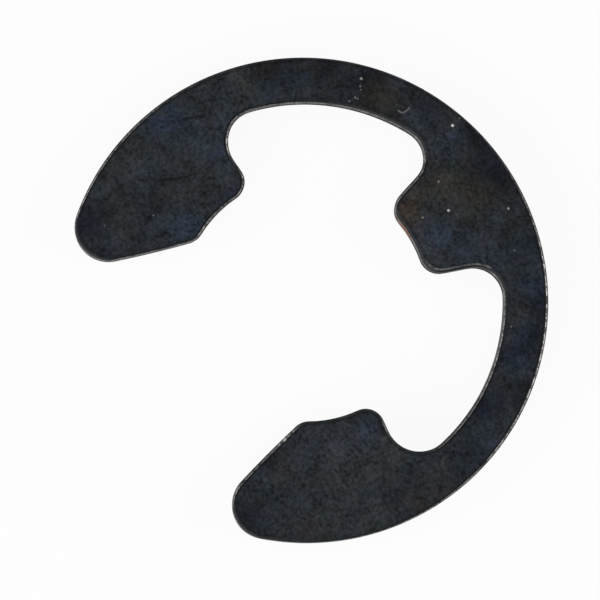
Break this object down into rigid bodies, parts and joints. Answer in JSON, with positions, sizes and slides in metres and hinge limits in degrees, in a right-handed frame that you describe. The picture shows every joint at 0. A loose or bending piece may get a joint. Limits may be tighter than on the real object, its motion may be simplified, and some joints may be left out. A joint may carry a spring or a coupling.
{
  "type": "e clip",
  "caption": "Flat retaining clip with inward prongs, relief pockets and a flared mouth, pushed sideways into a groove round a shaft.",
  "frame": {"origin": "on the shaft's axis, in the plane of the burr side that the clip lies on", "axes": "+Z along the shaft's axis towards the side with the rolled-over rim, -Y out of the mouth, +X across the two arms"},
  "size_m": [0.0294, 0.025, 0.0015],
  "materials": {
    "black_spring_steel": "matt blue-black phosphate, mottled, with the rolled-over rim worn bright and a little rust on the back prong"
  },
  "bodies": {
    "root": {"e_clip": "black_spring_steel"}
  },
  "joints": []
}
